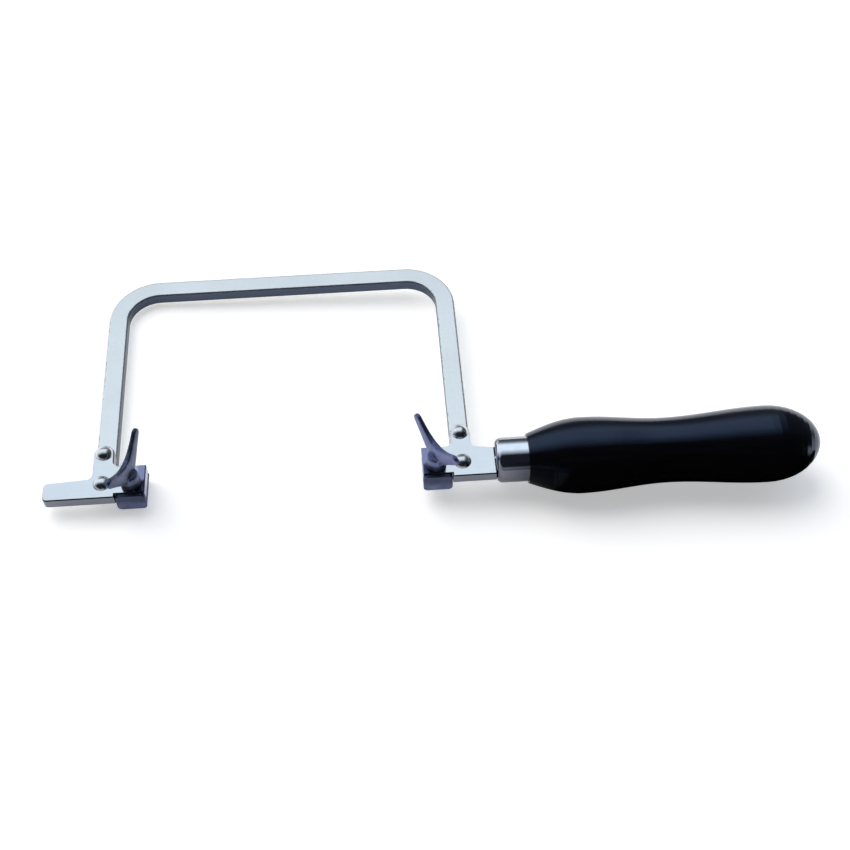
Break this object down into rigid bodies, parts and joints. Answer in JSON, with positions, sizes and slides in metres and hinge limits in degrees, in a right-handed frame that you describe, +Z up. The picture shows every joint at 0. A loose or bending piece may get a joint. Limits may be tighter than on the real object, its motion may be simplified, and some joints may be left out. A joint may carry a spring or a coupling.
{
  "type": "fret saw",
  "caption": "Deep-throat fret saw with a riveted flat-bar bow, wing-screw blade clamps, a short nose and a turned handle behind a cup ferrule.",
  "frame": {"origin": "centre of the underside of the whole saw's box as it lies on its side", "axes": "+X along the handle, from the nose at the free end to the butt of the handle; +Y from the blade line towards the back of the bow; +Z up, the side that the wing screws stand on"},
  "size_m": [0.3196, 0.1282, 0.0386],
  "materials": {
    "plated_frame": "satin nickel plate",
    "plated_clamps": "dark violet-tinted plated steel",
    "plated_ferrule": "bright plated",
    "black_handle": "black gloss lacquer over turned hardwood"
  },
  "bodies": {
    "saw_frame": {"bow": "plated_frame", "front_bracket": "plated_frame", "rear_bracket": "plated_frame", "front_upper_rivet": "plated_frame", "front_lower_rivet": "plated_frame", "rear_upper_rivet": "plated_frame", "rear_lower_rivet": "plated_frame", "ferrule": "plated_ferrule", "handle": "black_handle"},
    "front_screw": {"front_wing_screw": "plated_clamps"},
    "rear_screw": {"rear_wing_screw": "plated_clamps"},
    "front_plate": {"front_clamp_plate": "plated_clamps"},
    "rear_plate": {"rear_clamp_plate": "plated_clamps"}
  },
  "joints": [
    {"name": "front_screw_turn", "type": "hinge", "parent": "saw_frame", "child": "front_screw", "pos_m": [-0.1242, -0.05005, 0.0185], "axis": [0, 0, 1], "range_deg": [0, 630]},
    {"name": "front_plate_slide", "type": "slide", "parent": "saw_frame", "child": "front_plate", "axis": [0, 0, -1], "range_m": [0, 0.0014]},
    {"name": "rear_screw_turn", "type": "hinge", "parent": "saw_frame", "child": "rear_screw", "pos_m": [0, -0.05005, 0.0185], "axis": [0, 0, 1], "range_deg": [0, 630]},
    {"name": "rear_plate_slide", "type": "slide", "parent": "saw_frame", "child": "rear_plate", "axis": [0, 0, -1], "range_m": [0, 0.0014]}
  ],
  "couplings": [
    {"joint": "front_screw_turn", "follows": "front_plate_slide", "rad_per_m": 7854},
    {"joint": "rear_screw_turn", "follows": "rear_plate_slide", "rad_per_m": 7854}
  ]
}
